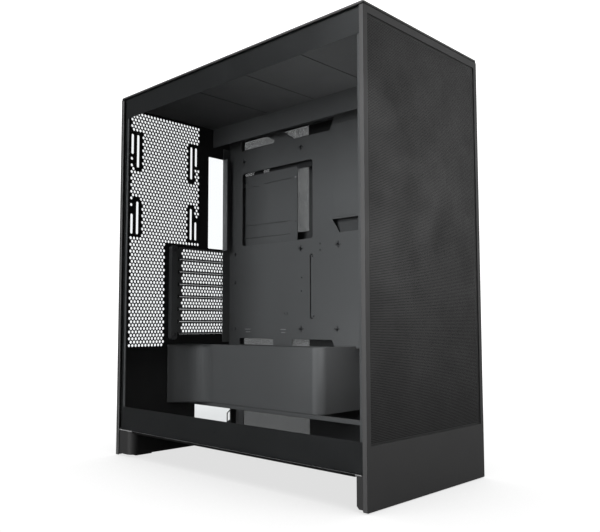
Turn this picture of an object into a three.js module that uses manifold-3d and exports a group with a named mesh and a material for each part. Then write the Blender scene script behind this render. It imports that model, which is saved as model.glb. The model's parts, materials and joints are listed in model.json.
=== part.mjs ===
// A mid-tower desktop computer case, empty and ready for a build: folded steel chassis, glass left side,
// perforated front, top and right side panels that pull off, three intake fans and the port cluster.
// Millimetres, +Z up. Origin: centre of the footprint, on the ground. The front faces -Y, the glass -X.
import * as THREE from "three";
import { mergeVertices } from "three/addons/utils/BufferGeometryUtils.js";
import Module from "manifold-3d";

const wasm = await Module();
wasm.setup();

// Driving dimensions
const width = 244;
const depth = 470;
const height = 544;
const steel = 1.5; // folded chassis sheet
const gap = 0.3; // clearance between pieces that touch
const panelEnd = 6; // depth of the front panel and of the rear rim
const floorZ = 39; // underside of the main chamber's floor
const bayFloorZ = 12; // underside of the power supply bay's floor
const bayX = 16; // inner wall of the power supply bay
const trayX = 95.5; // chamber side of the motherboard tray
const chassisX = 116.5; // outer faces of the chassis flanges
const coverZ = 541.5; // underside of the top cover
const ceilingZ = 531; // underside of the top frame
const shroudTop = 162.5;
const ledgeLow = 65;
const ledgeTop = 70.5;
const skirtTop = 68; // plain foot of the front panel
const meshTop = 532;
const meshHalf = 115;

// Standard interfaces
const slotPitch = 20.32;
const slotCount = 7;
const slotTop = 320.7;
const ioWindow = { left: 50, right: 94.45, low: 323.5, high: 482.25 };
const supplyWindow = { left: 24, right: 104, low: 16, high: 156 };
const fanSize = 120;
const fanDepth = 25;
const fanPitch = 124;
const fanMiddleZ = 300;

const halfW = width / 2;
const halfD = depth / 2;
const frontBack = -halfD + panelEnd; // rear face of the front panel's zone
const rearFront = halfD - panelEnd; // front face of the rear rim
const rearSheet = halfD - 3.5; // inner face of the rear sheet
const sideY = rearFront - gap; // half length of the side panels
const sideTop = coverZ - gap;
const glass = 4;
const studReach = 7;
const studRadius = 2.2;
const studHole = 3.4;
const glassStudY = [-180, 0, 180];
const glassStudZ = { low: 55, high: 528 };
const sideStudZ = [90, 470];
const frontStud = { x: 106, z: [84, 516] };

const finishes = {
  chassisSteel: { color: 0x1f1f20, roughness: 0.55, metalness: 0.3 },
  panelSteel: { color: 0x202021, roughness: 0.5, metalness: 0.3 },
  meshSteel: { color: 0x171718, roughness: 0.6, metalness: 0.3 },
  blackPlastic: { color: 0x222223, roughness: 0.6, metalness: 0 },
  fanPlastic: { color: 0x141415, roughness: 0.5, metalness: 0 },
  filterCloth: { color: 0x101010, roughness: 0.95, metalness: 0 },
  tintedGlass: { color: 0x2a2c2e, roughness: 0.05, metalness: 0 },
  rubber: { color: 0x0e0e0e, roughness: 0.9, metalness: 0 },
  board: { color: 0x0c1a12, roughness: 0.4, metalness: 0 },
  plated: { color: 0x9a9a98, roughness: 0.35, metalness: 1 },
};

// Solid helpers

function solidOf(geometry) {
  const bare = geometry.clone();
  bare.deleteAttribute("normal");
  bare.deleteAttribute("uv");
  const merged = mergeVertices(bare, 1e-4);
  const mesh = new wasm.Mesh({
    numProp: 3,
    vertProperties: merged.attributes.position.array,
    triVerts: new Uint32Array(merged.index.array),
  });
  return new wasm.Manifold(mesh);
}

function geometryOf(solid) {
  const mesh = solid.getMesh();
  const geometry = new THREE.BufferGeometry();
  geometry.setAttribute("position", new THREE.BufferAttribute(mesh.vertProperties, 3));
  geometry.setIndex(new THREE.BufferAttribute(mesh.triVerts, 1));
  geometry.computeVertexNormals();
  return geometry;
}

function join(...pieces) {
  return geometryOf(pieces.map(solidOf).reduce((whole, next) => whole.add(next)));
}

function cut(base, ...tools) {
  return geometryOf(tools.map(solidOf).reduce((rest, tool) => rest.subtract(tool), solidOf(base)));
}

// A block between two opposite corners.
function block(x0, x1, y0, y1, z0, z1) {
  const geometry = new THREE.BoxGeometry(x1 - x0, y1 - y0, z1 - z0);
  return geometry.translate((x0 + x1) / 2, (y0 + y1) / 2, (z0 + z1) / 2);
}

// A round bar along one axis, through a point on its own centre line.
function rod(axis, radius, from, to, a, b, sides = 20) {
  const geometry = new THREE.CylinderGeometry(radius, radius, to - from, sides);
  const middle = (from + to) / 2;
  if (axis === "x") return geometry.rotateZ(-Math.PI / 2).translate(middle, a, b);
  if (axis === "y") return geometry.translate(a, middle, b);
  return geometry.rotateX(Math.PI / 2).translate(a, b, middle);
}

// An outline extruded along an axis. Its two coordinates are the other two axes, in X, Y, Z order.
function plate(axis, from, to, outline, curveSegments = 6) {
  const options = { depth: to - from, bevelEnabled: false, curveSegments };
  const geometry = new THREE.ExtrudeGeometry(outline, options);
  const place = new THREE.Matrix4();
  if (axis === "x") place.set(0, 0, 1, from, 1, 0, 0, 0, 0, 1, 0, 0, 0, 0, 0, 1);
  if (axis === "y") place.set(1, 0, 0, 0, 0, 0, -1, to, 0, 1, 0, 0, 0, 0, 0, 1);
  if (axis === "z") place.makeTranslation(0, 0, from);
  return geometry.applyMatrix4(place);
}

// A rectangle with rounded corners, as an outline or as a hole in one.
function panelShape(a0, a1, b0, b1, radius = 0, Kind = THREE.Shape) {
  const shape = new Kind();
  const r = Math.max(radius, 0.001);
  shape.moveTo(a0 + r, b0);
  shape.lineTo(a1 - r, b0);
  if (radius) shape.absarc(a1 - r, b0 + r, r, -Math.PI / 2, 0, false);
  shape.lineTo(a1, b1 - r);
  if (radius) shape.absarc(a1 - r, b1 - r, r, 0, Math.PI / 2, false);
  shape.lineTo(a0 + r, b1);
  if (radius) shape.absarc(a0 + r, b1 - r, r, Math.PI / 2, Math.PI, false);
  shape.lineTo(a0, b0 + r);
  if (radius) shape.absarc(a0 + r, b0 + r, r, Math.PI, Math.PI * 1.5, false);
  shape.closePath();
  return shape;
}

function pierced(shape, ...windows) {
  shape.holes.push(...windows);
  return shape;
}

function opening(a0, a1, b0, b1, radius = 2) {
  return panelShape(a0, a1, b0, b1, radius, THREE.Path);
}

function polygon(points, Kind = THREE.Path) {
  const shape = new Kind();
  points.forEach(([a, b], i) => (i ? shape.lineTo(a, b) : shape.moveTo(a, b)));
  shape.closePath();
  return shape;
}

const tower = new THREE.Group();

function part(name, finish, geometry) {
  const mesh = new THREE.Mesh(geometry, new THREE.MeshStandardMaterial(finishes[finish]));
  mesh.name = name;
  tower.add(mesh);
}

// Chassis

function basePan() {
  const back = rearSheet - gap;
  const front = frontBack + 5;
  const runner = (y, inward) => join(
    block(-110, bayX - 3, y, y + steel, floorZ - 5, floorZ + 0.5),
    block(-110, bayX - 3, Math.min(y, y + inward), Math.max(y, y + inward), floorZ - 5, floorZ - 3.8),
  );
  const pan = join(
    block(-chassisX, bayX, front, back, floorZ, floorZ + steel),
    block(-chassisX, -chassisX + steel, front, back, floorZ, skirtTop - 3 - gap),
    block(bayX - steel, bayX, front, back, bayFloorZ, floorZ + steel),
    block(bayX - steel, chassisX, front, back, bayFloorZ, bayFloorZ + steel),
    block(chassisX - steel, chassisX, front, back, bayFloorZ, bayFloorZ + 5),
    runner(-220.2, 6),
    runner(195.4, -4),
  );
  const holes = glassStudY.map((y) => rod("x", studHole, -chassisX - 1, -chassisX + 3, y, glassStudZ.low));
  return cut(pan, ...holes);
}

function rearPanel() {
  const face = pierced(
    panelShape(-halfW, halfW, 0.6, sideTop, 1),
    opening(ioWindow.left, ioWindow.right, ioWindow.low, ioWindow.high, 1.5),
    opening(-9.5, 89.5, slotTop - slotCount * slotPitch, slotTop, 1),
    opening(supplyWindow.left, supplyWindow.right, supplyWindow.low, supplyWindow.high, 2),
  );
  const rim = (x) => block(x, x + steel, rearFront, halfD, 0.6, sideTop);
  const flange = (x, low, high) => block(x, x + steel, 212, rearSheet + 0.5, low, high);
  const panel = join(
    plate("y", rearSheet, rearSheet + steel, face),
    rim(-halfW),
    rim(halfW - steel),
    block(-halfW, halfW, rearFront, halfD, sideTop - steel, sideTop),
    flange(-chassisX, floorZ + 3, ceilingZ - 1),
    flange(chassisX - steel, bayFloorZ + 8, ceilingZ - 1),
  );
  const corner = block(-chassisX - 1, -chassisX + 3, 200, rearSheet - 0.01, 0, skirtTop - 1);
  const holes = sideStudZ.map((z) => rod("x", studHole, chassisX - 3, chassisX + 1, 219, z));
  return cut(panel, corner, ...holes);
}

function frontFrame() {
  const front = frontBack + 1.5;
  const low = skirtTop - 3;
  const high = ceilingZ - 1;
  const windowHalf = fanSize / 2 - 4;
  const reach = fanPitch + windowHalf;
  const face = pierced(
    panelShape(-chassisX, chassisX, low, high, 1),
    opening(-windowHalf, windowHalf, fanMiddleZ - reach, fanMiddleZ + reach, 8),
  );
  const frame = join(
    plate("y", front, front + steel, face),
    block(-chassisX, -chassisX + steel, front, front + 5.5, low, high),
    block(chassisX - steel, chassisX, front, front + 16, low, high),
  );
  const bezelHoles = [-1, 1].flatMap((side) =>
    frontStud.z.map((z) => rod("y", studHole, front - 1, front + 3, side * frontStud.x, z)),
  );
  const sideHoles = sideStudZ.map((z) => rod("x", studHole, chassisX - 3, chassisX + 1, -219, z));
  return cut(frame, ...bezelHoles, ...sideHoles);
}

function topFrame() {
  const front = frontBack + 1.5;
  const back = rearSheet - gap;
  const flange = (x) => block(x, x + steel, front, back - 20, ceilingZ - 15.5, coverZ - 1);
  const seam = (y) => block(-81, 56, y - 1.2, y + 1.2, ceilingZ - 0.8, ceilingZ + 0.5);
  const frame = join(
    block(-chassisX, chassisX, front, back, ceilingZ, ceilingZ + steel),
    flange(-chassisX),
    flange(chassisX - steel),
    seam(96),
    seam(-3),
    seam(-105),
  );
  const corner = (x) => block(x - 3, x + 3, front - 1, front + 18, ceilingZ - 20, ceilingZ - 0.7);
  const holes = glassStudY.map((y) => rod("x", studHole, -chassisX - 1, -chassisX + 3, y, glassStudZ.high));
  return cut(frame, corner(-chassisX), corner(chassisX), ...holes);
}

function topSideRail() {
  return join(
    block(59, 60.5, -190, rearSheet - 1, 499, ceilingZ - gap),
    block(59, 72, -190, rearSheet - 1, ceilingZ - gap - steel, ceilingZ - gap),
  );
}

function motherboardTray() {
  const low = 159.3;
  const topLeft = polygon([[-2, 491], [72, 492.5], [100, 511.5], [-12, 511.5]]);
  const topRight = polygon([[119, 494], [198, 493.5], [198, 511.5], [146, 511.5], [130, 505], [117, 498]]);
  const bottomLeft = polygon([[-9, low + 1.5], [78, low + 1.5], [78, 171], [-5, 171]]);
  const bottomRight = opening(120, 201, low + 1.5, 171, 2);
  const sideHook = polygon([[-100, 332], [-21, 332], [-7, 353], [-100, 353]]);
  const face = pierced(
    panelShape(-190, rearSheet - 3, low, ceilingZ - 4, 2),
    opening(33, 198, 328, 453, 5),
    opening(36.5, 39.5, 203, 303, 1.4),
    topLeft,
    topRight,
    bottomLeft,
    bottomRight,
    sideHook,
  );
  return join(
    plate("x", trayX, trayX + steel, face),
    block(80, trayX + steel, rearSheet - 4.5, rearSheet - 3, low + 5, 500),
  );
}

function shroud() {
  const bend = 15;
  const front = -50;
  const back = rearSheet - 2.5;
  const outline = new THREE.Shape();
  outline.moveTo(bayX, back);
  outline.lineTo(bayX, front + bend);
  outline.absarc(bayX + bend, front + bend, bend, Math.PI, Math.PI * 1.5, false);
  outline.lineTo(trayX - gap, front);
  outline.lineTo(trayX - gap, front + steel);
  outline.lineTo(bayX + bend, front + steel);
  outline.absarc(bayX + bend, front + bend, bend - steel, Math.PI * 1.5, Math.PI, true);
  outline.lineTo(bayX + steel, back);
  outline.closePath();
  return join(
    plate("z", ledgeTop + gap, shroudTop, outline, 10),
    block(bayX + steel / 2, chassisX - 2, front + bend, back, 157.5, 159),
    block(bayX + bend, chassisX - 2, front + steel / 2, front + bend + 1, 157.5, 159),
    block(trayX - 1, chassisX - 2, front, front + steel, ledgeTop + gap, 159),
  );
}

function supplyBracket() {
  const { left, right, low, high } = supplyWindow;
  const rim = 10;
  const face = pierced(
    panelShape(left - rim, right + rim, low - rim, high + rim, 4),
    opening(left, right, low, high),
  );
  return plate("y", rearSheet + steel + gap, rearSheet + 2 * steel, face);
}

function slotCover(index) {
  const high = slotTop - index * slotPitch - 0.2;
  const low = high - slotPitch + 0.4;
  return block(-12, 92, rearSheet - gap - 1.2, rearSheet - gap, low, high);
}

function slotClamp() {
  const outline = panelShape(-31.5, -19.5, 170, 322, 5);
  return plate("y", rearSheet - gap - 8, rearSheet - gap, outline, 8);
}

function driveTray() {
  const plateX = trayX + 8;
  return join(
    block(plateX, plateX + 1.2, 73, 197, 300, 449),
    block(plateX, plateX + 11, 73, 74.2, 310, 440),
    block(plateX, plateX + 11, 195.8, 197, 310, 440),
  );
}

function frontFoot() {
  const back = frontBack + 8.7;
  const front = frontBack + gap;
  const outline = polygon(
    [[front, 3], [back - 3, 3], [back, 6], [back, floorZ - gap], [front, floorZ - gap]],
    THREE.Shape,
  );
  const foot = plate("x", -halfW + 1, halfW - 4.8, outline);
  return cut(foot, block(bayX - 3, halfW, frontBack + 4.5, back + 1, bayFloorZ - 0.4, floorZ));
}

function rearFoot() {
  const front = 197.4;
  const back = rearSheet - gap;
  const round = 12;
  const outline = new THREE.Shape();
  outline.moveTo(-halfW + 1.8, back);
  outline.lineTo(-halfW + 1.8, front + round);
  outline.absarc(-halfW + 1.8 + round, front + round, round, Math.PI, Math.PI * 1.5, false);
  outline.absarc(halfW - 1.8 - round, front + round, round, -Math.PI / 2, 0, false);
  outline.lineTo(halfW - 1.8, back);
  outline.closePath();
  const foot = plate("z", 3, floorZ - gap, outline, 8);
  return cut(foot, block(bayX - 3, halfW, front - 1, back + 1, bayFloorZ - 0.4, floorZ));
}

function footPad(x, y, halfLength, halfBreadth) {
  return block(x - halfLength, x + halfLength, y - halfBreadth, y + halfBreadth, 0, 2.7);
}

// Intake fans

const fanFront = frontBack + 3.3;
const fanBack = fanFront + fanDepth;

function fanFrame(z) {
  const half = fanSize / 2;
  const bore = new THREE.Path();
  bore.absarc(0, z, 57.4, 0, Math.PI * 2, true);
  const face = pierced(panelShape(-half, half, z - half, z + half, 6), bore);
  const shell = plate("y", fanFront, fanBack, face, 12);
  const motorBase = rod("y", 20, fanBack - 3, fanBack, 0, z, 28);
  const arms = [0, 1, 2, 3].map((turn) => {
    const arm = new THREE.BoxGeometry(39, 3, 4).translate(38.5, fanBack - 1.5, 0);
    return arm.rotateY(Math.PI / 4 + (turn * Math.PI) / 2).translate(0, 0, z);
  });
  return join(shell, motorBase, ...arms);
}

function fanRotor(z) {
  const middle = fanFront + 11;
  const hub = rod("y", 20, fanFront + 2, fanBack - 3.6, 0, z, 28);
  const blades = Array.from({ length: 7 }, (_, i) => {
    const blade = new THREE.BoxGeometry(36, 2, 26).rotateX(THREE.MathUtils.degToRad(48));
    return blade.translate(37, middle, 0).rotateY((i * Math.PI * 2) / 7).translate(0, 0, z);
  });
  return join(hub, ...blades);
}

// Panels that pull off

function glassStrip(low, high, studZ) {
  const outer = -halfW + glass + gap;
  const strip = block(outer, outer + 0.9, -215, 211, low, high);
  const studs = glassStudY.map((y) => rod("x", studRadius, outer + 0.5, outer + studReach, y, studZ, 16));
  return join(strip, ...studs);
}

function sidePanel() {
  const sheetX = halfW - steel;
  const low = bayFloorZ + 0.5;
  const fold = 3;
  const studs = [-219, 219].flatMap((y) =>
    sideStudZ.map((z) => rod("x", studRadius, sheetX - 8, sheetX + 0.5, y, z, 16)),
  );
  return join(
    block(sheetX, halfW, -sideY, sideY, low, sideTop),
    block(sheetX - fold, sheetX + 0.2, -sideY, -sideY + steel, low, sideTop),
    block(sheetX - fold, sheetX + 0.2, sideY - steel, sideY, low, sideTop),
    block(sheetX - fold, sheetX + 0.2, -sideY, sideY, sideTop - steel, sideTop),
    block(sheetX - fold, sheetX + 0.2, -sideY, sideY, low, low + steel),
    ...studs,
  );
}

function frontBezel() {
  const face = pierced(
    panelShape(-halfW, halfW, 1, coverZ - 0.8, 1.2),
    opening(-meshHalf, meshHalf, skirtTop, meshTop, 1),
  );
  const studs = [-1, 1].flatMap((side) =>
    frontStud.z.map((z) => (
      rod("y", studRadius, frontBack - 0.8, frontBack + studReach, side * frontStud.x, z, 16)
    )),
  );
  const backing = pierced(
    panelShape(-meshHalf - 0.5, meshHalf + 0.5, skirtTop - 1, meshTop + 0.5, 1),
    opening(-98, 98, 94, 506, 4),
  );
  return join(
    plate("y", -halfD, frontBack - gap, face),
    plate("y", frontBack - 1.6, frontBack - gap, backing),
    ...studs,
  );
}

// Top cover and port cluster

const portX = 100;
const portY = { button: -213, audio: -195, usbLower: -178, usbUpper: -158, usbC: -141 };
const boardTop = ceilingZ + steel + gap + 1.6;

function topCover() {
  const shape = pierced(
    panelShape(-halfW, halfW, -halfD, halfD, 2),
    opening(portX - 6.4, portX + 6.4, portY.button - 6.4, portY.button + 6.4, 6.3),
    opening(portX - 3.9, portX + 3.9, portY.audio - 3.9, portY.audio + 3.9, 3.8),
    opening(portX - 3.4, portX + 3.4, portY.usbLower - 7.2, portY.usbLower + 7.2, 0.5),
    opening(portX - 3.4, portX + 3.4, portY.usbUpper - 7.2, portY.usbUpper + 7.2, 0.5),
    opening(portX - 2.4, portX + 2.4, portY.usbC - 5.2, portY.usbC + 5.2, 2.3),
  );
  const skirt = (x0, x1, y0, y1) => block(x0, x1, y0, y1, coverZ - 6, coverZ + 0.5);
  return join(
    plate("z", coverZ, height, shape),
    skirt(-113, -111.5, -222, 222),
    skirt(111.5, 113, -222, 222),
    skirt(-113, 113, 220.5, 222),
    skirt(-113, 113, -224.5, -223),
  );
}

function usbPort(y) {
  const shell = block(portX - 3, portX + 3, y - 6.8, y + 6.8, boardTop + gap, height - 0.3);
  return cut(shell, block(portX - 2.3, portX + 2.3, y - 6.1, y + 6.1, boardTop + 2, height + 1));
}

function usbSmallPort() {
  const y = portY.usbC;
  const outline = (halfX, halfY, r) => panelShape(portX - halfX, portX + halfX, y - halfY, y + halfY, r);
  const shell = plate("z", boardTop + gap, height - 0.3, outline(2, 4.8, 1.9));
  return cut(shell, plate("z", boardTop + 2, height + 1, outline(1.4, 4.2, 1.3)));
}

function audioJack() {
  const barrel = rod("z", 3.5, boardTop + gap, height - 0.3, portX, portY.audio);
  return cut(barrel, rod("z", 1.8, boardTop + 2, height + 1, portX, portY.audio));
}

function powerButton() {
  return join(
    rod("z", 6, height - 5, height - 0.2, portX, portY.button, 32),
    rod("z", 2, boardTop + 3.4, height - 4.5, portX, portY.button, 16),
  );
}

part("base_pan", "chassisSteel", basePan());
part("rear_panel", "chassisSteel", rearPanel());
part("front_frame", "chassisSteel", frontFrame());
part("top_frame", "chassisSteel", topFrame());
part("top_side_rail", "chassisSteel", topSideRail());
part("motherboard_tray", "chassisSteel", motherboardTray());
part("supply_shroud", "chassisSteel", shroud());
part("shroud_ledge", "chassisSteel", block(
  bayX - 2.5, bayX + 3, frontBack + 7.5, rearSheet - gap, ledgeLow, ledgeTop,
));
part("supply_bracket", "chassisSteel", supplyBracket());
part("slot_clamp", "chassisSteel", slotClamp());
part("drive_tray", "chassisSteel", driveTray());
for (let i = 0; i < slotCount; i++) part(`slot_cover_${i + 1}`, "chassisSteel", slotCover(i));

part("front_foot", "blackPlastic", frontFoot());
part("rear_foot", "blackPlastic", rearFoot());
part("foot_pad_front_left", "rubber", footPad(-100, frontBack + 3.5, 14, 2.6));
part("foot_pad_front_right", "rubber", footPad(100, frontBack + 3.5, 14, 2.6));
part("foot_pad_rear_left", "rubber", footPad(-92, 215, 14, 9));
part("foot_pad_rear_right", "rubber", footPad(92, 215, 14, 9));

["lower", "middle", "upper"].forEach((place, i) => {
  const z = fanMiddleZ + (i - 1) * fanPitch;
  part(`fan_frame_${place}`, "fanPlastic", fanFrame(z));
  part(`fan_rotor_${place}`, "fanPlastic", fanRotor(z));
});

part("glass_pane", "tintedGlass", block(
  -halfW, -halfW + glass, -sideY, sideY, floorZ - gap, sideTop,
));
part("glass_strip_upper", "panelSteel", glassStrip(514, 538, glassStudZ.high));
part("glass_strip_lower", "panelSteel", glassStrip(42, 67, glassStudZ.low));
part("side_panel", "panelSteel", sidePanel());

part("front_bezel", "blackPlastic", frontBezel());
part("front_mesh", "meshSteel", block(
  -meshHalf + gap, meshHalf - gap, -halfD + 1.1, -halfD + 2.1, skirtTop + gap, meshTop - gap,
));
part("front_filter", "filterCloth", block(
  -meshHalf + 1, meshHalf - 1, -halfD + 3.4, -halfD + 4.1, skirtTop + 1.5, meshTop - 1.5,
));
part("top_cover", "panelSteel", topCover());
part("bottom_filter", "filterCloth", block(
  -halfW + 0.5, bayX - 3.2, -218.4, 195, floorZ - 3.4, floorZ - 0.7,
));

part("port_board", "board", block(
  portX - 9, portX + 9, portY.button - 9, portY.usbC + 8, ceilingZ + steel + gap, boardTop,
));
part("power_switch", "blackPlastic", block(
  portX - 3, portX + 3, portY.button - 3, portY.button + 3, boardTop + gap, boardTop + 2,
));
part("power_button", "blackPlastic", powerButton());
part("audio_jack", "blackPlastic", audioJack());
part("usb_port_front", "plated", usbPort(portY.usbLower));
part("usb_port_rear", "plated", usbPort(portY.usbUpper));
part("usb_port_small", "plated", usbSmallPort());

export default tower;
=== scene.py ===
import json
import math

import bpy
import bmesh
import numpy as np
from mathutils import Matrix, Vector
from mathutils.geometry import delaunay_2d_cdt


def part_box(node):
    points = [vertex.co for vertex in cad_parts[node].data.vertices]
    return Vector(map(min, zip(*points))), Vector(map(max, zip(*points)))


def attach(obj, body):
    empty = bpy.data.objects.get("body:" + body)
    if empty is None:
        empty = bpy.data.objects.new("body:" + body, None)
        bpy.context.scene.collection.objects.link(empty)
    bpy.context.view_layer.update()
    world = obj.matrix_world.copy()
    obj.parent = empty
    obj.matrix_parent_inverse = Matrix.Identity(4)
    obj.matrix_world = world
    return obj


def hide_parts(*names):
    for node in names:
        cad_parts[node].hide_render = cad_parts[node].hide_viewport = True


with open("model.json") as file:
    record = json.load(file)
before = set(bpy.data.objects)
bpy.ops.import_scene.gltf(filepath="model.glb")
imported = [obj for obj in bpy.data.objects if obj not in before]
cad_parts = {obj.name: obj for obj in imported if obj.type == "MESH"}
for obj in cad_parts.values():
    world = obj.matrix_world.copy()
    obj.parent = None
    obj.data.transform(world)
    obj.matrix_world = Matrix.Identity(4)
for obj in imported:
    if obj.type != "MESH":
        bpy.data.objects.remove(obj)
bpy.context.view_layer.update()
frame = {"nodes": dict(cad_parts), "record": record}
mm = 0.001
print("stage: frame loaded")


# Looks

def newMaterial(name):
    material = bpy.data.materials.new(name)
    material.use_nodes = True
    nodes = material.node_tree.nodes
    return material, nodes, material.node_tree.links, nodes["Principled BSDF"]


def objectCoords(nodes):
    return nodes.new("ShaderNodeTexCoord").outputs["Object"]


def noiseNode(nodes, links, coords, scale, detail=3.0, rough=0.55):
    noise = nodes.new("ShaderNodeTexNoise")
    noise.inputs["Scale"].default_value = scale
    noise.inputs["Detail"].default_value = detail
    noise.inputs["Roughness"].default_value = rough
    links.new(coords, noise.inputs["Vector"])
    return noise.outputs["Fac"]


def rangeNode(nodes, links, value, low, high):
    usual = {"low": 0.3, "high": 0.7}  # most of the noise lies between these
    mapped = nodes.new("ShaderNodeMapRange")
    mapped.inputs["From Min"].default_value = usual["low"]
    mapped.inputs["From Max"].default_value = usual["high"]
    mapped.inputs["To Min"].default_value = low
    mapped.inputs["To Max"].default_value = high
    links.new(value, mapped.inputs["Value"])
    return mapped.outputs["Result"]


def colourNode(nodes, links, value, dark, light):
    mixed = nodes.new("ShaderNodeMix")
    mixed.data_type = "RGBA"
    mixed.inputs["A"].default_value = (*dark, 1)
    mixed.inputs["B"].default_value = (*light, 1)
    links.new(value, mixed.inputs["Factor"])
    return mixed.outputs["Result"]


def coatedSurface(name, look):
    material, nodes, links, shader = newMaterial(name)
    coords = objectCoords(nodes)
    grain = noiseNode(nodes, links, coords, look["grainScale"])
    mottle = noiseNode(nodes, links, coords, look["mottleScale"], 5)
    tone = [c * look["spread"] for c in look["colour"]]
    links.new(colourNode(nodes, links, mottle, look["colour"], tone), shader.inputs["Base Color"])
    low = look["rough"] - look["roughSpread"]
    high = look["rough"] + look["roughSpread"]
    links.new(rangeNode(nodes, links, mottle, low, high), shader.inputs["Roughness"])
    shader.inputs["Metallic"].default_value = look["metal"]
    shader.inputs["Specular IOR Level"].default_value = look["specular"]
    bevel = nodes.new("ShaderNodeBevel")  # softens the sheet's folded edges
    bevel.samples = 4
    bevel.inputs["Radius"].default_value = look["edgeRadius"]
    bump = nodes.new("ShaderNodeBump")
    bump.inputs["Strength"].default_value = look["grainStrength"]
    bump.inputs["Distance"].default_value = look["grainDepth"]
    links.new(grain, bump.inputs["Height"])
    links.new(bevel.outputs["Normal"], bump.inputs["Normal"])
    links.new(bump.outputs["Normal"], shader.inputs["Normal"])
    return material


def chassisSteelMaterial():
    look = {
        "colour": (0.057, 0.057, 0.0575),
        "spread": 1.2,
        "rough": 0.52,
        "roughSpread": 0.06,
        "metal": 0.0,
        "specular": 0.45,
        "mottleScale": 14,
        "grainScale": 1900,
        "grainDepth": 0.00003,
        "grainStrength": 0.08,
        "edgeRadius": 0.0005,
    }
    return coatedSurface("chassis_steel", look)


# darker copy of the chassis steel: painted shade for the rear sheet, whose inside lies in the case's
# shadow
def rearShadedSteelMaterial():
    look = {
        "colour": (0.009, 0.009, 0.0092),
        "spread": 1.2,
        "rough": 0.6,
        "roughSpread": 0.06,
        "metal": 0.0,
        "specular": 0.15,
        "mottleScale": 14,
        "grainScale": 1900,
        "grainDepth": 0.00003,
        "grainStrength": 0.08,
        "edgeRadius": 0.0005,
    }
    return coatedSurface("rear_steel_painted_shade", look)


def panelSteelMaterial():
    look = {
        "colour": (0.0125, 0.0125, 0.0128),
        "spread": 1.2,
        "rough": 0.46,
        "roughSpread": 0.05,
        "metal": 0.0,
        "specular": 0.45,
        "mottleScale": 9,
        "grainScale": 2100,
        "grainDepth": 0.00003,
        "grainStrength": 0.1,
        "edgeRadius": 0.0006,
    }
    return coatedSurface("panel_steel", look)


def meshSteelMaterial():
    look = {
        "colour": (0.0092, 0.0092, 0.0094),
        "spread": 1.12,
        "rough": 0.5,
        "roughSpread": 0.07,
        "metal": 0.0,
        "specular": 0.5,
        "mottleScale": 20,
        "grainScale": 2400,
        "grainDepth": 0.00004,
        "grainStrength": 0.3,
        "edgeRadius": 0.0001,
    }
    return coatedSurface("mesh_steel", look)


def blackPlasticMaterial():
    look = {
        "colour": (0.025, 0.025, 0.0255),
        "spread": 1.2,
        "rough": 0.55,
        "roughSpread": 0.06,
        "metal": 0.0,
        "specular": 0.42,
        "mottleScale": 11,
        "grainScale": 1300,
        "grainDepth": 0.00004,
        "grainStrength": 0.15,
        "edgeRadius": 0.0007,
    }
    return coatedSurface("black_plastic", look)


# darker copy of the black plastic: painted shade for the feet, which stand in the shadow under the
# case
def footShadedPlasticMaterial():
    look = {
        "colour": (0.008, 0.008, 0.0082),
        "spread": 1.2,
        "rough": 0.6,
        "roughSpread": 0.06,
        "metal": 0.0,
        "specular": 0.35,
        "mottleScale": 12,
        "grainScale": 1300,
        "grainDepth": 0.00004,
        "grainStrength": 0.15,
        "edgeRadius": 0.0007,
    }
    return coatedSurface("foot_plastic_painted_shade", look)


# light grey coat: painted highlight on the port lip and the sill bar, where their edges catch the
# light; also used for the tie marks
def paleMarkAndHighlightMaterial():
    look = {
        "colour": (0.17, 0.17, 0.172),
        "spread": 1.15,
        "rough": 0.4,
        "roughSpread": 0.06,
        "metal": 0.0,
        "specular": 0.5,
        "mottleScale": 40,
        "grainScale": 1500,
        "grainDepth": 0.00003,
        "grainStrength": 0.1,
        "edgeRadius": 0.0003,
    }
    return coatedSurface("pale_mark_and_highlight", look)


def fanPlasticMaterial():
    look = {
        "colour": (0.010, 0.010, 0.0105),
        "spread": 1.3,
        "rough": 0.38,
        "roughSpread": 0.05,
        "metal": 0.0,
        "specular": 0.5,
        "mottleScale": 18,
        "grainScale": 1500,
        "grainDepth": 0.00005,
        "grainStrength": 0.25,
        "edgeRadius": 0.0006,
    }
    return coatedSurface("fan_plastic", look)


def rubberMaterial():
    look = {
        "colour": (0.008, 0.008, 0.008),
        "spread": 1.6,
        "rough": 0.85,
        "roughSpread": 0.06,
        "metal": 0.0,
        "specular": 0.3,
        "mottleScale": 60,
        "grainScale": 900,
        "grainDepth": 0.00012,
        "grainStrength": 0.5,
        "edgeRadius": 0.0006,
    }
    return coatedSurface("rubber", look)


def platedMaterial():
    look = {
        "colour": (0.42, 0.42, 0.41),
        "spread": 0.8,
        "rough": 0.32,
        "roughSpread": 0.08,
        "metal": 1.0,
        "specular": 0.5,
        "mottleScale": 120,
        "grainScale": 2600,
        "grainDepth": 0.00002,
        "grainStrength": 0.2,
        "edgeRadius": 0.0002,
    }
    return coatedSurface("plated", look)


def screwMaterial():
    look = {
        "colour": (0.055, 0.055, 0.056),
        "spread": 1.5,
        "rough": 0.34,
        "roughSpread": 0.08,
        "metal": 0.8,
        "specular": 0.5,
        "mottleScale": 200,
        "grainScale": 2600,
        "grainDepth": 0.00002,
        "grainStrength": 0.25,
        "edgeRadius": 0.0003,
    }
    return coatedSurface("black_zinc", look)


def boardMaterial():
    look = {
        "colour": (0.004, 0.012, 0.008),
        "spread": 1.5,
        "rough": 0.3,
        "roughSpread": 0.05,
        "metal": 0.0,
        "specular": 0.5,
        "mottleScale": 90,
        "grainScale": 1500,
        "grainDepth": 0.00004,
        "grainStrength": 0.3,
        "edgeRadius": 0.0002,
    }
    return coatedSurface("board", look)


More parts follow.
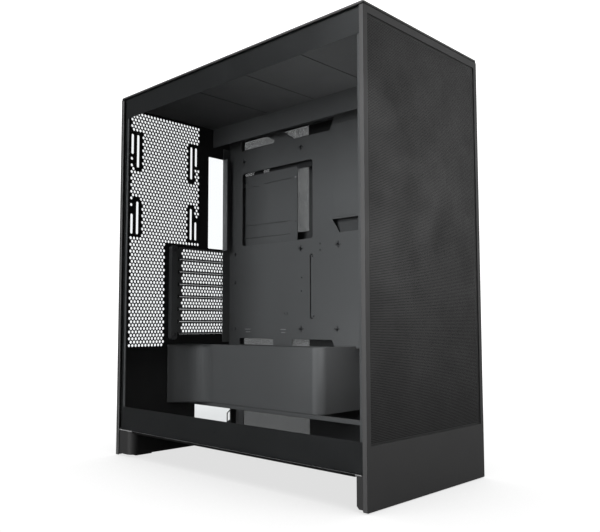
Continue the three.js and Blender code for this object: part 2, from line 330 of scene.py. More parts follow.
def filterClothMaterial():
    look = {
        "weave": 1400,
        "dark": (0.0008, 0.0008, 0.0008),
        "light": (0.004, 0.004, 0.004),
        "rough": 0.9,
        "specular": 0.05,
        "relief": 0.0001,
    }
    material, nodes, links, shader = newMaterial("filter_cloth")
    coords = objectCoords(nodes)
    threads = []
    for direction in ("X", "Y", "Z"):
        wave = nodes.new("ShaderNodeTexWave")
        wave.bands_direction = direction
        wave.inputs["Scale"].default_value = look["weave"]
        links.new(coords, wave.inputs["Vector"])
        threads.append(wave.outputs["Fac"])
    crossing = nodes.new("ShaderNodeMath")
    crossing.operation = "MAXIMUM"
    links.new(threads[0], crossing.inputs[0])
    links.new(threads[1], crossing.inputs[1])
    weave = nodes.new("ShaderNodeMath")
    weave.operation = "MAXIMUM"
    links.new(crossing.outputs[0], weave.inputs[0])
    links.new(threads[2], weave.inputs[1])
    tone = colourNode(nodes, links, weave.outputs[0], look["dark"], look["light"])
    links.new(tone, shader.inputs["Base Color"])
    shader.inputs["Roughness"].default_value = look["rough"]
    shader.inputs["Specular IOR Level"].default_value = look["specular"]
    bump = nodes.new("ShaderNodeBump")
    bump.inputs["Distance"].default_value = look["relief"]
    links.new(weave.outputs[0], bump.inputs["Height"])
    links.new(bump.outputs["Normal"], shader.inputs["Normal"])
    return material


def tintedGlassMaterial():
    look = {
        "tint": (0.86, 0.87, 0.875),
        "gloss": 0.6,
        "bend": 1.3,
        "clean": 0.012,
        "smeared": 0.05,
        "smudge": 35,
    }
    material, nodes, links, shader = newMaterial("tinted_glass")
    nodes.remove(shader)
    coords = objectCoords(nodes)
    clear = nodes.new("ShaderNodeBsdfTransparent")
    clear.inputs["Color"].default_value = (*look["tint"], 1)
    mirror = nodes.new("ShaderNodeBsdfGlossy")
    mirror.inputs["Color"].default_value = (look["gloss"],) * 3 + (1,)
    smudge = noiseNode(nodes, links, coords, look["smudge"], 6)
    rough = rangeNode(nodes, links, smudge, look["clean"], look["smeared"])
    links.new(rough, mirror.inputs["Roughness"])
    fresnel = nodes.new("ShaderNodeFresnel")
    fresnel.inputs["IOR"].default_value = look["bend"]
    side = nodes.new("ShaderNodeNewGeometry")
    outside = nodes.new("ShaderNodeMath")  # only the face turned to the eye mirrors
    outside.operation = "SUBTRACT"
    outside.inputs[0].default_value = 1
    links.new(side.outputs["Backfacing"], outside.inputs[1])
    share = nodes.new("ShaderNodeMath")
    share.operation = "MULTIPLY"
    links.new(fresnel.outputs["Fac"], share.inputs[0])
    links.new(outside.outputs[0], share.inputs[1])
    mixed = nodes.new("ShaderNodeMixShader")
    links.new(share.outputs[0], mixed.inputs["Fac"])
    links.new(clear.outputs["BSDF"], mixed.inputs[1])
    links.new(mirror.outputs["BSDF"], mixed.inputs[2])
    links.new(mixed.outputs["Shader"], nodes["Material Output"].inputs["Surface"])
    return material


def glassPrintMaterial():
    look = {
        "colour": (0.0125, 0.0125, 0.0127),
        "spread": 1.3,
        "rough": 0.3,
        "roughSpread": 0.03,
        "metal": 0.0,
        "specular": 0.4,
        "mottleScale": 30,
        "grainScale": 1800,
        "grainDepth": 0.00001,
        "grainStrength": 0.04,
        "edgeRadius": 0.00001,
    }
    return coatedSurface("glass_print", look)


def floorMaterial():
    look = {
        "colour": (0.9, 0.9, 0.9),
        "shade": 0.995,
        "unseen": (0.5, 0.5, 0.5),
        "mirrored": (0.09, 0.09, 0.09),
        "white": 1.36,
        "glowFrom": 0.5,
        "glowTo": 1.1,
    }
    shadow = {"reach": 0.3, "deep": 0.25, "open": 0.9, "darkest": 0.74, "lightest": 1.03}
    material, nodes, links, shader = newMaterial("studio_floor")
    nodes.remove(shader)
    coords = objectCoords(nodes)
    shade = noiseNode(nodes, links, coords, 3, 2)
    light = [c * look["shade"] for c in look["colour"]]
    hidden = nodes.new("ShaderNodeAmbientOcclusion")
    hidden.samples = 8
    hidden.inputs["Distance"].default_value = shadow["reach"]
    links.new(colourNode(nodes, links, shade, look["colour"], light), hidden.inputs["Color"])
    openness = nodes.new("ShaderNodeMapRange")
    openness.interpolation_type = "SMOOTHSTEP"
    openness.inputs["From Min"].default_value = shadow["deep"]
    openness.inputs["From Max"].default_value = shadow["open"]
    openness.inputs["To Min"].default_value = shadow["darkest"]
    openness.inputs["To Max"].default_value = shadow["lightest"]
    links.new(hidden.outputs["AO"], openness.inputs["Value"])
    near = nodes.new("ShaderNodeEmission")
    links.new(openness.outputs["Result"], near.inputs["Strength"])
    distance = nodes.new("ShaderNodeVectorMath")
    distance.operation = "LENGTH"
    links.new(coords, distance.inputs[0])
    fade = nodes.new("ShaderNodeMapRange")  # pure white away from the case
    fade.interpolation_type = "SMOOTHSTEP"
    fade.inputs["From Min"].default_value = look["glowFrom"]
    fade.inputs["From Max"].default_value = look["glowTo"]
    links.new(distance.outputs["Value"], fade.inputs["Value"])
    white = nodes.new("ShaderNodeEmission")
    white.inputs["Strength"].default_value = look["white"]
    far = nodes.new("ShaderNodeMixShader")
    links.new(fade.outputs["Result"], far.inputs["Fac"])
    links.new(near.outputs["Emission"], far.inputs[1])
    links.new(white.outputs["Emission"], far.inputs[2])
    dim = nodes.new("ShaderNodeBsdfDiffuse")
    dim.inputs["Color"].default_value = (*look["unseen"], 1)
    path = nodes.new("ShaderNodeLightPath")  # the case isn't lit from below by the white floor
    dark = nodes.new("ShaderNodeBsdfDiffuse")
    dark.inputs["Color"].default_value = (*look["mirrored"], 1)
    glossy = nodes.new("ShaderNodeMixShader")
    links.new(path.outputs["Is Glossy Ray"], glossy.inputs["Fac"])
    links.new(dim.outputs["BSDF"], glossy.inputs[1])
    links.new(dark.outputs["BSDF"], glossy.inputs[2])
    mixed = nodes.new("ShaderNodeMixShader")
    links.new(path.outputs["Is Camera Ray"], mixed.inputs["Fac"])
    links.new(glossy.outputs["Shader"], mixed.inputs[1])
    links.new(far.outputs["Shader"], mixed.inputs[2])
    links.new(mixed.outputs["Shader"], nodes["Material Output"].inputs["Surface"])
    return material


materials = {
    "chassis_steel": chassisSteelMaterial(),
    "rear_steel_painted_shade": rearShadedSteelMaterial(),
    "panel_steel": panelSteelMaterial(),
    "mesh_steel": meshSteelMaterial(),
    "black_plastic": blackPlasticMaterial(),
    "foot_plastic_painted_shade": footShadedPlasticMaterial(),
    "pale_mark_and_highlight": paleMarkAndHighlightMaterial(),
    "fan_plastic": fanPlasticMaterial(),
    "filter_cloth": filterClothMaterial(),
    "tinted_glass": tintedGlassMaterial(),
    "rubber": rubberMaterial(),
    "board": boardMaterial(),
    "plated": platedMaterial(),
    "glass_print": glassPrintMaterial(),
    "black_zinc": screwMaterial(),
}
# the feet get the darker copy of the plastic: painted shade under the case
feet = ("front_foot", "rear_foot")  # darker than the other plastic
for entry in frame["record"]["subparts"]:
    node = frame["nodes"][entry["node"]]
    node.data.materials.clear()
    look = "foot_plastic_painted_shade" if entry["node"] in feet else entry["material_slot"]
    node.data.materials.append(materials[look])
print("stage: materials made")


# Mesh helpers

def makePiece(name, mesh, body, look):
    piece = bpy.data.objects.new(name, mesh)
    bpy.context.scene.collection.objects.link(piece)
    mesh.materials.append(materials[look])
    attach(piece, body)
    return piece


def meshFrom(name, vertices, faces):
    mesh = bpy.data.meshes.new(name)
    mesh.from_pydata([tuple(v) for v in vertices], [], [tuple(f) for f in faces])
    mesh.validate()
    return mesh


def toWorld(axis, level, a, b):
    if axis == "x":
        return (level * mm, a * mm, b * mm)
    if axis == "y":
        return (a * mm, level * mm, b * mm)
    return (a * mm, b * mm, level * mm)


def ringPoints(a, b, radius, count=12):
    steps = [2 * math.pi * i / count for i in range(count)]
    return [(a + radius * math.cos(t), b + radius * math.sin(t)) for t in steps]


def roundedLoop(a0, a1, b0, b1, radius, steps=5):
    centres = [
        (a1 - radius, b0 + radius, -90),
        (a1 - radius, b1 - radius, 0),
        (a0 + radius, b1 - radius, 90),
        (a0 + radius, b0 + radius, 180),
    ]
    loop = []
    for a, b, start in centres:
        for i in range(steps + 1):
            t = math.radians(start + 90 * i / steps)
            loop.append((a + radius * math.cos(t), b + radius * math.sin(t)))
    return loop


def hexGrid(a0, a1, b0, b1, pitch):
    step = pitch * math.sqrt(3) / 2
    centres = []
    for row in range(int((b1 - b0) / step) + 1):
        shift = pitch / 2 if row % 2 else 0
        for i in range(int((a1 - a0) / pitch) + 1):
            along = i * pitch + shift
            centres.append((a0 + along, b0 + row * step))
    return [(a, b) for a, b in centres if a <= a1 and b <= b1]


def insideLoop(point, loop):
    a, b = point
    inside = False
    for (a0, b0), (a1, b1) in zip(loop, loop[1:] + loop[:1]):
        if (b0 > b) != (b1 > b) and a < (a1 - a0) * (b - b0) / (b1 - b0) + a0:
            inside = not inside
    return inside


def sheetSolid(axis, level, thickness, outline, cuts):
    loops = [outline, *cuts]
    points = []
    edges = []
    owner = []
    for index, loop in enumerate(loops):
        first = len(points)
        points += [Vector(p) for p in loop]
        owner += [index] * len(loop)
        edges += [(first + i, first + (i + 1) % len(loop)) for i in range(len(loop))]
    found = delaunay_2d_cdt(points, edges, [], 1, 1e-6, True)
    flat, triangles, origins = found[0], found[2], found[3]
    origin = [ids[0] for ids in origins]
    place = {}
    for new, ids in enumerate(origins):
        for old in ids:
            place[old] = new
    faces = []
    for tri in triangles:
        owners = {owner[origin[v]] for v in tri}
        if len(owners) == 1 and 0 not in owners:
            middle = sum((flat[v] for v in tri), Vector((0, 0))) / 3
            if insideLoop(middle, loops[owners.pop()]):
                continue
        faces.append(list(tri))
    count = len(flat)
    vertices = [toWorld(axis, level, p.x, p.y) for p in flat]
    vertices += [toWorld(axis, level + thickness, p.x, p.y) for p in flat]
    far = [[v + count for v in reversed(tri)] for tri in faces]
    walls = [[place[a], place[b], place[b] + count, place[a] + count] for a, b in edges]
    return vertices, faces + far + walls


def blockSolid(x0, x1, y0, y1, z0, z1):
    corners = [(x, y, z) for x in (x0, x1) for y in (y0, y1) for z in (z0, z1)]
    vertices = [(x * mm, y * mm, z * mm) for x, y, z in corners]
    faces = [(0, 1, 3, 2), (4, 6, 7, 5), (0, 4, 5, 1), (2, 3, 7, 6), (0, 2, 6, 4), (1, 5, 7, 3)]
    return vertices, faces


def tubeSolid(axis, a, b, sections, count=24):
    vertices = []
    faces = []
    for level, radius in sections:
        ring = ringPoints(a, b, radius, count)
        vertices += [toWorld(axis, level, ringA, ringB) for ringA, ringB in ring]
    for s in range(len(sections) - 1):
        for i in range(count):
            j = (i + 1) % count
            faces.append((s * count + i, s * count + j, (s + 1) * count + j, (s + 1) * count + i))
    faces.append(tuple(range(count)))
    last = (len(sections) - 1) * count
    faces.append(tuple(last + i for i in reversed(range(count))))
    return vertices, faces


def gathered(*solids):
    vertices = []
    faces = []
    for found, loops in solids:
        first = len(vertices)
        vertices += found
        faces += [[first + v for v in loop] for loop in loops]
    return vertices, faces


def outwardMesh(name, solid, smooth=False):
    mesh = meshFrom(name, *solid)
    work = bmesh.new()
    work.from_mesh(mesh)
    bmesh.ops.recalc_face_normals(work, faces=work.faces)
    work.to_mesh(mesh)
    work.free()
    if smooth:
        mesh.shade_smooth()
    return mesh


def fineSheet(name, axis, level, a0, a1, b0, b1, pitch, hole):
    step = pitch * math.sqrt(3) / 2
    past = 0.4  # share of a cell that may pass the far edges
    rows = np.arange(math.ceil((b1 - b0) / step) + 1)
    columns = np.arange(math.ceil((a1 - a0) / pitch) + 1)
    cells = [(c + 0.5 * (r % 2), r) for r in rows for c in columns]
    grid = np.array([(a0 + along * pitch, b0 + r * step) for along, r in cells])
    keep = (grid[:, 0] < a1 + pitch * past) & (grid[:, 1] < b1 + step * past)
    grid = grid[keep]
    turns = np.radians(30 + 60 * np.arange(6))
    ring = np.stack([np.cos(turns), np.sin(turns)], 1)
    outer = grid[:, None, :] + ring[None] * pitch / math.sqrt(3)
    inner = grid[:, None, :] + ring[None] * hole / 2
    flat = np.concatenate([outer, inner], 1).reshape(-1, 2) * mm
    parts = [flat[:, 0], flat[:, 1]]
    parts.insert("xyz".index(axis), np.full(len(flat), level * mm))
    vertices = np.stack(parts, 1)
    side = np.arange(6)
    cell = np.stack([side, (side + 1) % 6, (side + 1) % 6 + 6, side + 6], 1)
    faces = (np.arange(len(grid)) * 12)[:, None, None] + cell[None]
    mesh = bpy.data.meshes.new(name)
    mesh.vertices.add(len(vertices))
    mesh.vertices.foreach_set("co", vertices.astype(np.float32).ravel())
    faces = faces.reshape(-1, 4)
    mesh.loops.add(faces.size)
    mesh.loops.foreach_set("vertex_index", faces.astype(np.int32).ravel())
    mesh.polygons.add(len(faces))
    mesh.polygons.foreach_set("loop_start", np.arange(0, faces.size, 4, dtype=np.int32))
    mesh.update(calc_edges=True)
    return mesh


# Perforated sheets

holeGrid = {"pitch": 6.0, "radius": 2.4}  # round holes of the rear sheet and slot covers


def clearOf(centres, keepOuts, margin):
    kept = []
    for a, b in centres:
        gaps = [
            math.hypot(a - min(max(a, a0), a1), b - min(max(b, b0), b1))
            for a0, a1, b0, b1 in keepOuts
        ]
        if min(gaps) > margin:
            kept.append((a, b))
    return kept


def makeSolid(name, solid, body, look, smooth=False):
    return makePiece(name, outwardMesh(name, solid, smooth), body, look)


def rearPanel():
    size = {"level": 231.5, "sheet": 1.5, "halfWidth": 122, "low": 0.6, "high": 541.2}
    slot = {"half": 2.4, "clear": 8.6}
    bend = {"x": -34, "y": 179, "radius": 50, "low": 70.8, "tall": 91.7}
    ports = roundedLoop(50, 94.45, 323.5, 482.25, 1.5)
    slots = roundedLoop(-9.5, 89.5, 178.46, 320.7, 1)
    supply = roundedLoop(24, 104, 16, 156, 2)
    fanSlots = [(-103, 460, 492), (-92.8, 440, 492), (12.8, 437, 492), (22.6, 460, 492)]
    fanSlots += [(-103, 334.5, 366), (-92.8, 334.5, 386), (12.8, 334.5, 387), (22.6, 334.5, 365.5)]
    holes = hexGrid(-104, 28, 161.8, 526, holeGrid["pitch"])
    holes = [(a, b) for a, b in holes if b > 325 or a < -38]
    keepOuts = [(a, a, low + slot["half"], high - slot["half"]) for a, low, high in fanSlots]
    holes = clearOf(holes, keepOuts, slot["clear"])
    cuts = [ringPoints(a, b, holeGrid["radius"]) for a, b in holes]
    for a, low, high in fanSlots:
        cuts.append(roundedLoop(a - slot["half"], a + slot["half"], low, high, 2.3))
    cuts += [ports, slots, supply]
    outline = roundedLoop(-size["halfWidth"], size["halfWidth"], size["low"], size["high"], 1)
    face = sheetSolid("y", size["level"], size["sheet"], outline, cuts)
    turns = [math.radians(degrees) for degrees in range(90, -1, -5)]
    fillet = []
    for t in turns:
        x = bend["x"] + bend["radius"] * math.cos(t)
        fillet.append((x, bend["y"] + bend["radius"] * math.sin(t)))
    fillet += [(17, 179), (17, 229)]
    corner = sheetSolid("z", bend["low"], bend["tall"], fillet, [])
    makeSolid("shroud_corner", corner, "chassis", "chassis_steel")
    rims = [
        blockSolid(-122, -120.5, 229, 235, 0.6, 541.2),
        blockSolid(120.5, 122, 229, 235, 0.6, 541.2),
        blockSolid(-122, 122, 229, 235, 539.7, 541.2),
        blockSolid(-116.5, -115, 222.5, 232, 67, 530),
        blockSolid(115, 116.5, 212, 232, 20, 530),
    ]
    # the rear sheet takes the darker copy of the steel: painted shade
    piece = makeSolid("rear_sheet", face, "chassis", "rear_steel_painted_shade")
    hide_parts("rear_panel")
    rim = makeSolid("rear_rims", gathered(*rims), "chassis", "chassis_steel")
    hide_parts("rear_panel")


def slotCovers():
    for index in range(7):
        node = f"slot_cover_{index + 1}"
        low, high = (corner / mm for corner in (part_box(node)[0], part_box(node)[1]))
        a0, b0, a1, b1 = low.x, low.z, high.x, high.z
        middle = (b0 + b1) / 2
        holes = [(a, middle) for a in np.arange(-5, 86, 6.0)]
        holes += [(a + 3, middle + side * 5.2) for side in (-1, 1) for a in np.arange(-5, 80, 6.0)]
        cuts = [ringPoints(a, b, holeGrid["radius"] - 0.1) for a, b in holes]
        outline = [(a0, b0), (a1, b0), (a1, b1), (a0, b1)]
        face = sheetSolid("y", low.y, high.y - low.y, outline, cuts)
        tab = blockSolid(-24, -12, low.y - 0.4, low.y + 0.8, b0 + 3, b1 - 3)
        mesh = outwardMesh(node, gathered(face, tab))
        piece = makePiece(f"perforated_{node}", mesh, "chassis", "chassis_steel")
        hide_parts(node)


def sidePanel():
    field = {"pitch": 2.0, "hole": 0.8, "level": 121.3}
    zones = [(63, 226, 344, 519), (63, 226, 19, 176)]
    profile = [(112.5, 1.6), (113.2, 2.2), (115, 2.2), (116, 1.5), (117.5, 2.2), (121, 2.2)]
    cuts = [roundedLoop(y0, y1, z0, z1, 2) for y0, y1, z0, z1 in zones]
    outline = roundedLoop(-228.7, 228.7, 12.5, 541.2, 1)
    face = sheetSolid("x", 120.5, 1.5, outline, cuts)
    folds = [
        blockSolid(117.5, 120.6, -228.7, -227.2, 12.5, 541.2),
        blockSolid(117.5, 120.6, 227.2, 228.7, 12.5, 541.2),
        blockSolid(117.5, 120.6, -228.7, 228.7, 539.7, 541.2),
        blockSolid(117.5, 120.6, -228.7, 228.7, 12.5, 14),
    ]
    studs = [
        tubeSolid("x", y, z, profile)
        for y in (-219, 219)
        for z in (90, 470)
    ]
    solid = gathered(face, *folds, *studs)
    piece = makeSolid("right_sheet", solid, "side_panel", "panel_steel")
    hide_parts("side_panel")
    for name, zone in zip(("right_field_upper", "right_field_lower"), zones):
        grown = [zone[0] - 0.5, zone[1] + 0.5, zone[2] - 0.5, zone[3] + 0.5]
        mesh = fineSheet(name, "x", field["level"], *grown, field["pitch"], field["hole"])
        piece = makePiece(name, mesh, "side_panel", "mesh_steel")
        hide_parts("side_panel")


def frontSheet():
    size = {"level": -233.9, "half": 115.5, "low": 67.6, "middle": 300, "high": 532.4}
    holes = {"pitch": 2.0, "hole": 1.5}
    step = holes["pitch"] * math.sqrt(3) / 2
    rows = 2 * round((size["middle"] - size["low"]) / step / 2)
    middle = size["low"] + rows * step
    spans = [
        ("front_sheet_lower", size["low"], middle - step),
        ("front_sheet_upper", middle, size["high"]),
    ]
    for name, low, high in spans:
        edges = (-size["half"], size["half"], low, high)
        mesh = fineSheet(name, "y", size["level"], *edges, holes["pitch"], holes["hole"])
        piece = makePiece(name, mesh, "front_panel", "mesh_steel")
        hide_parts("front_mesh")


def topCover():
    size = {"level": 541.5, "sheet": 2.5}
    field = {"level": 543.2, "pitch": 2.0, "hole": 1.35, "overlap": 0.5}
    window = (-110, 84, -206, 222)
    portX = 100
    outline = roundedLoop(-122, 122, -235, 235, 2)
    cuts = [
        roundedLoop(window[0], window[1], window[2], window[3], 4),
        ringPoints(portX, -213, 6.4, 40),
        ringPoints(portX, -195, 3.9, 28),
        roundedLoop(portX - 3.4, portX + 3.4, -185.2, -170.8, 0.5),
        roundedLoop(portX - 3.4, portX + 3.4, -165.2, -150.8, 0.5),
        roundedLoop(portX - 2.4, portX + 2.4, -146.2, -135.8, 2.3),
    ]
    face = sheetSolid("z", size["level"], size["sheet"], outline, cuts)
    skirts = [
        blockSolid(-113, -111.5, -222, 222, 535.5, 542),
        blockSolid(111.5, 113, -222, 222, 535.5, 542),
        blockSolid(-113, 113, 220.5, 222, 535.5, 542),
        blockSolid(-113, 113, -224.5, -223, 535.5, 542),
    ]
    solid = gathered(face, *skirts)
    piece = makeSolid("top_frame_cover", solid, "top_panel", "panel_steel")
    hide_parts("top_cover")
    step = field["pitch"] * math.sqrt(3) / 2
    half = (window[3] - window[2]) / 2
    rows = 2 * round(half / step / 2)
    middle = window[2] - field["overlap"] + rows * step
    spans = [
        ("top_sheet_front", window[2] - field["overlap"], middle - step),
        ("top_sheet_rear", middle, window[3] + field["overlap"]),
    ]
    for name, low, high in spans:
        edges = (window[0] - field["overlap"], window[1] + field["overlap"], low, high)
        mesh = fineSheet(name, "z", field["level"], *edges, field["pitch"], field["hole"])
        piece = makePiece(name, mesh, "top_panel", "mesh_steel")
        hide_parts("top_cover")


def slit(a0, b0, a1, b1, width):
    length = math.hypot(a1 - a0, b1 - b0)
    acrossA = -(b1 - b0) / length * width / 2
    acrossB = (a1 - a0) / length * width / 2
    return [
        (a0 - acrossA, b0 - acrossB),
        (a1 - acrossA, b1 - acrossB),
        (a1 + acrossA, b1 + acrossB),
        (a0 + acrossA, b0 + acrossB),
    ]


def traySheet():
    size = {"x": 95.5, "sheet": 1.5, "front": -190, "rear": 228.5, "low": 159.3, "high": 527}
    groove = [(39.1, 301), (39.1, 205), (37, 202.6), (33.2, 202.6), (33.2, 204.4), (36, 204.6)]
    groove += [(36.9, 206), (36.9, 300), (36, 301.6), (33.2, 301.8), (33.2, 303.6), (37, 303.6)]
    tiny = [(32.9, 299.3), (31.1, 207.1), (56, 267.6), (56.8, 246.7), (17.7, 318.1), (17.8, 308.2)]
    cuts = [
        roundedLoop(33, 194.8, 328, 453, 5),
        groove,
        [(-2, 491), (72, 492.5), (100, 511.5), (-12, 511.5)],
        [(119, 494), (198, 493.5), (198, 511.5), (146, 511.5), (130, 505), (117, 498)],
        [(-9, 160.8), (78, 160.8), (78, 171), (-5, 171)],
        roundedLoop(120, 201, 160.8, 171, 2),
        [(-100, 332), (-21, 332), (-7, 353), (-100, 353)],
    ]
    cuts += [ringPoints(a, b, 1.2, 10) for a, b in tiny]
    outline = roundedLoop(size["front"], size["rear"], size["low"], size["high"], 2)
    face = sheetSolid("x", size["x"], size["sheet"], outline, cuts)
    folds = [
        blockSolid(80, 97, 227, 228.5, 164.3, 500),
        blockSolid(94.9, 95.6, -190, -7, 356, 498.8),  # raised front field
        blockSolid(94.7, 95.6, 88.5, 94.5, 209.6, 211),
        blockSolid(94.4, 95.6, 87.8, 89.2, 209.6, 213.5),
        blockSolid(94.4, 95.6, 93.6, 95, 209.6, 213.5),
    ]
    tabs = [blockSolid(92, 95.6, 210, 214.5, z - 2.5, z + 2.5) for z in (314.7, 265.7, 186.6)]
    solid = gathered(face, *folds, *tabs)
    piece = makeSolid("tray_sheet", solid, "chassis", "chassis_steel")
    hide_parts("motherboard_tray")
    # the port lip is coated light grey: painted highlight on its lit edge
    lip = blockSolid(80, 81.2, 217.5, 226.8, 321.5, 480.5)
    makeSolid("port_lip", lip, "chassis", "pale_mark_and_highlight")
    top = [(108, -110, 355), (108, 4, 355), (96.9, 4, 331.2), (96.9, -110, 331.2)]
    corners = [(x * mm, y * mm, z * mm) for x, y, z in top]
    corners += [((x + 1) * mm, y * mm, z * mm) for x, y, z in top]
    faces = [(0, 1, 2, 3), (7, 6, 5, 4), (0, 4, 5, 1), (1, 5, 6, 2), (2, 6, 7, 3), (3, 7, 4, 0)]
    makeSolid("tray_dimple", (corners, faces), "chassis", "chassis_steel")


def drivePlate():
    size = {"x": 103.5, "sheet": 1.2, "front": 73, "rear": 206, "low": 300, "high": 449}
    lines = [(148.9, 431, 86.8, 431.3), (182.9, 430.2, 162.7, 428.8)]
    lines += [(198.9, 363.2, 90.5, 361.6), (198.8, 341.5, 90.6, 340.5)]
    cuts = [slit(*line, 0.9) for line in lines]
    cuts += [ringPoints(76.3, 360, 1.3, 12)]
    outline = roundedLoop(size["front"], size["rear"], size["low"], size["high"], 4)
    face = sheetSolid("x", size["x"], size["sheet"], outline, cuts)
    # dark blocks in the fans' plastic behind the plate's top: painted shade for the gap above the
    # drive plate
    shade_spans = [(30, 73, 444.7), (73, 139.7, 447), (154.2, 176.5, 447), (199.4, 212, 447)]
    shade_blocks = [blockSolid(106, 107, y0, y1, low, 474) for y0, y1, low in shade_spans]
    feet = [blockSolid(97.1, 103.6, 196, 197.2, z, z + 8) for z in (310, 430)]
    backing = blockSolid(104.9, 105.5, 75, 205, 302, 446.5)
    solid = gathered(face, backing, *feet)
    makeSolid("drive_painted_shade", gathered(*shade_blocks), "chassis", "fan_plastic")
    piece = makeSolid("drive_plate", solid, "chassis", "chassis_steel")
    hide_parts("drive_tray")
    pin = tubeSolid("x", 76.3, 431.5, [(102.4, 0.9), (102.8, 1.4), (103.6, 1.4)], 16)
    makeSolid("drive_pin", pin, "chassis", "plated", smooth=True)


def trayStuds():
    places = [(57.8, 475.2), (58.3, 313.8), (-17.6, 314), (58, 187.3), (-15.2, 187.6), (190.8, 473.9)]
    profile = [(91.5, 1.1), (92, 1.9), (94.9, 1.9), (95, 2.6), (95.6, 2.6)]
    solids = []
    for y, z in places:
        solids.append(tubeSolid("x", y, z, profile, 16))
        # dark cross bars around each stud: painted shade of the tray's pressed cross recess
        solids.append(blockSolid(94.6, 95.6, y - 5, y + 5, z - 0.9, z + 0.9))
        solids.append(blockSolid(94.6, 95.6, y - 0.9, y + 0.9, z - 5, z + 5))
    makeSolid("tray_studs", gathered(*solids), "chassis", "black_zinc")


def tieMarks():
    bars = [(173, 186, 185.6), (173, 184, 181), (90, 102, 185.4), (91, 100, 180.6)]
    solids = [blockSolid(94.3, 95.6, y0, y1, z, z + 1.5) for y0, y1, z in bars]
    makeSolid("tie_marks", gathered(*solids), "chassis", "pale_mark_and_highlight")


def latchWire():
    wire = {"y": 228.6, "width": 1.3}
    points = [(93.4, 24), (93.4, 42.4), (101.3, 47.6), (101.5, 24)]
    solids = []
    for (x0, z0), (x1, z1) in zip(points, points[1:]):
        outline = slit(x0, z0, x1, z1, wire["width"])
        solids.append(sheetSolid("y", wire["y"], wire["width"], outline, []))
    makeSolid("latch_wire", gathered(*solids), "chassis", "black_zinc")


# light grey bar under the glass: painted highlight along the glass's bottom edge
def sillEdge():
    size = {"x0": -121.4, "x1": -119.4, "front": -227, "rear": 227.5, "low": 37.3, "high": 38.4}
    bar = blockSolid(size["x0"], size["x1"], size["front"], size["rear"], size["low"], size["high"])
    makeSolid("sill_edge", bar, "chassis", "pale_mark_and_highlight")


def smallScrews():
    rear = [(19.5, 11.5), (108.5, 11.5), (19.5, 160.5), (108.5, 160.5)]
    thumb = [(106, 24), (106, 530), (-106, 530)]
    solids = [tubeSolid("y", x, z, [(234.4, 3.4), (235.9, 3.2), (236.3, 2.2)], 20) for x, z in rear]
    solids += [tubeSolid("y", x, z, [(232.9, 5), (237.5, 5), (238, 4.4)], 28) for x, z in thumb]
    clamps = [(-25.5, 178), (-25.5, 314)]
    solids += [tubeSolid("y", x, z, [(223.3, 3), (221.9, 2.9), (221.5, 2)], 20) for x, z in clamps]
    makeSolid("small_screws", gathered(*solids), "chassis", "black_zinc")


def glassPrint():
    size = {"x": -117.9, "thick": 0.1}
    outer = [(-228.6, 38.8), (228.6, 38.8), (228.6, 541.1), (-228.6, 541.1)]
    inner = roundedLoop(-227.5, 226.8, 71.5, 511, 1.5)
    solid = sheetSolid("x", size["x"], size["thick"], outer, [inner])
    makeSolid("glass_print", solid, "glass_panel", "glass_print")


rearPanel()
slotCovers()
sidePanel()
frontSheet()
topCover()
glassPrint()
print("stage: perforated sheets made")
traySheet()
drivePlate()
trayStuds()
tieMarks()
latchWire()
sillEdge()
smallScrews()
print("stage: inner details made")


# Stage, camera and light

def studioFloor():
    bpy.ops.mesh.primitive_plane_add(size=40, location=(0, 0, -0.0002))
    floor = bpy.context.object
    floor.name = "studio_floor"
    floor.data.materials.append(floorMaterial())


def mainCamera():
    shot = {
        "lens": 41.436,
        "sensor": 36,
        "shift": (0.034, 0.0127),
        "place": (-0.6996, -0.6771, 0.1945),
        "tilt": 94.19,
        "heading": -45.47,
    }
    data = bpy.data.cameras.new("main_camera")
    data.lens = shot["lens"]
    data.sensor_width = shot["sensor"]
    data.shift_x, data.shift_y = shot["shift"]
    data.clip_start = 0.01
    camera = bpy.data.objects.new("main_camera", data)
    camera.location = shot["place"]
    camera.rotation_euler = (math.radians(shot["tilt"]), 0, math.radians(shot["heading"]))
    bpy.context.scene.collection.objects.link(camera)
    bpy.context.scene.camera = camera


def areaLight(name, place, aim, width, height, power, spread=180):
    data = bpy.data.lights.new(name, "AREA")
    data.shape = "RECTANGLE"
    data.size = width
    data.size_y = height
    data.energy = power
    data.spread = math.radians(spread)
    light = bpy.data.objects.new(name, data)
    light.location = place
    light.rotation_euler = (Vector(aim) - Vector(place)).to_track_quat("-Z", "Y").to_euler()
    bpy.context.scene.collection.objects.link(light)
    light.visible_camera = False


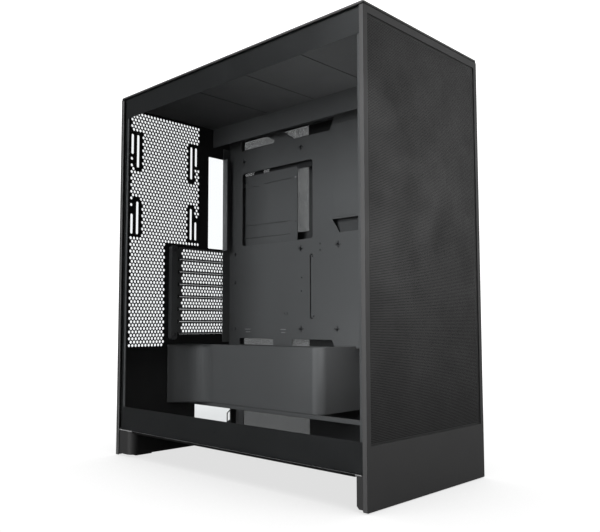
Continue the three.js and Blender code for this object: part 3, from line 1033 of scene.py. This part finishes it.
def studioWorld():
    look = {"strength": 0.22, "mirrored": 0.06, "backdrop": 1.36}
    world = bpy.data.worlds.new("studio")
    world.use_nodes = True
    nodes = world.node_tree.nodes
    links = world.node_tree.links
    light = nodes["Background"]
    light.inputs["Color"].default_value = (1, 1, 1, 1)
    light.inputs["Strength"].default_value = look["strength"]
    dim = nodes.new("ShaderNodeBackground")  # what the glass mirrors
    dim.inputs["Color"].default_value = (1, 1, 1, 1)
    dim.inputs["Strength"].default_value = look["mirrored"]
    backdrop = nodes.new("ShaderNodeBackground")
    backdrop.inputs["Color"].default_value = (1, 1, 1, 1)
    backdrop.inputs["Strength"].default_value = look["backdrop"]
    path = nodes.new("ShaderNodeLightPath")
    glossy = nodes.new("ShaderNodeMixShader")
    links.new(path.outputs["Is Glossy Ray"], glossy.inputs["Fac"])
    links.new(light.outputs["Background"], glossy.inputs[1])
    links.new(dim.outputs["Background"], glossy.inputs[2])
    mixed = nodes.new("ShaderNodeMixShader")
    links.new(path.outputs["Is Camera Ray"], mixed.inputs["Fac"])
    links.new(glossy.outputs["Shader"], mixed.inputs[1])
    links.new(backdrop.outputs["Background"], mixed.inputs[2])
    links.new(mixed.outputs["Shader"], nodes["World Output"].inputs["Surface"])
    bpy.context.scene.world = world


studioFloor()
mainCamera()
studioWorld()
areaLight("left_softbox", (-2.2, 0.32, 0.8), (0, 0.06, 0.3), 1.4, 1.7, 80)
areaLight("front_softbox", (1.5, -2.0, 0.7), (0, -0.2, 0.2), 1.4, 1.4, 25)
areaLight("top_softbox", (0.3, 0.3, 2.2), (0, 0, 0), 1.8, 1.8, 20)
areaLight("shroud_fill", (-0.03, -0.165, 0.2), (0.05, -0.05, 0.11), 0.12, 0.08, 0.2, 130)
areaLight("ceiling_fill", (-0.02, -0.1, 0.19), (-0.02, -0.12, 0.5), 0.16, 0.16, 0.2, 90)
view = bpy.context.scene.view_settings
view.view_transform = "Standard"
view.look = "None"
bpy.context.scene.cycles.transparent_max_bounces = 24
bpy.context.scene.cycles.use_denoising = True
print("stage: studio made")
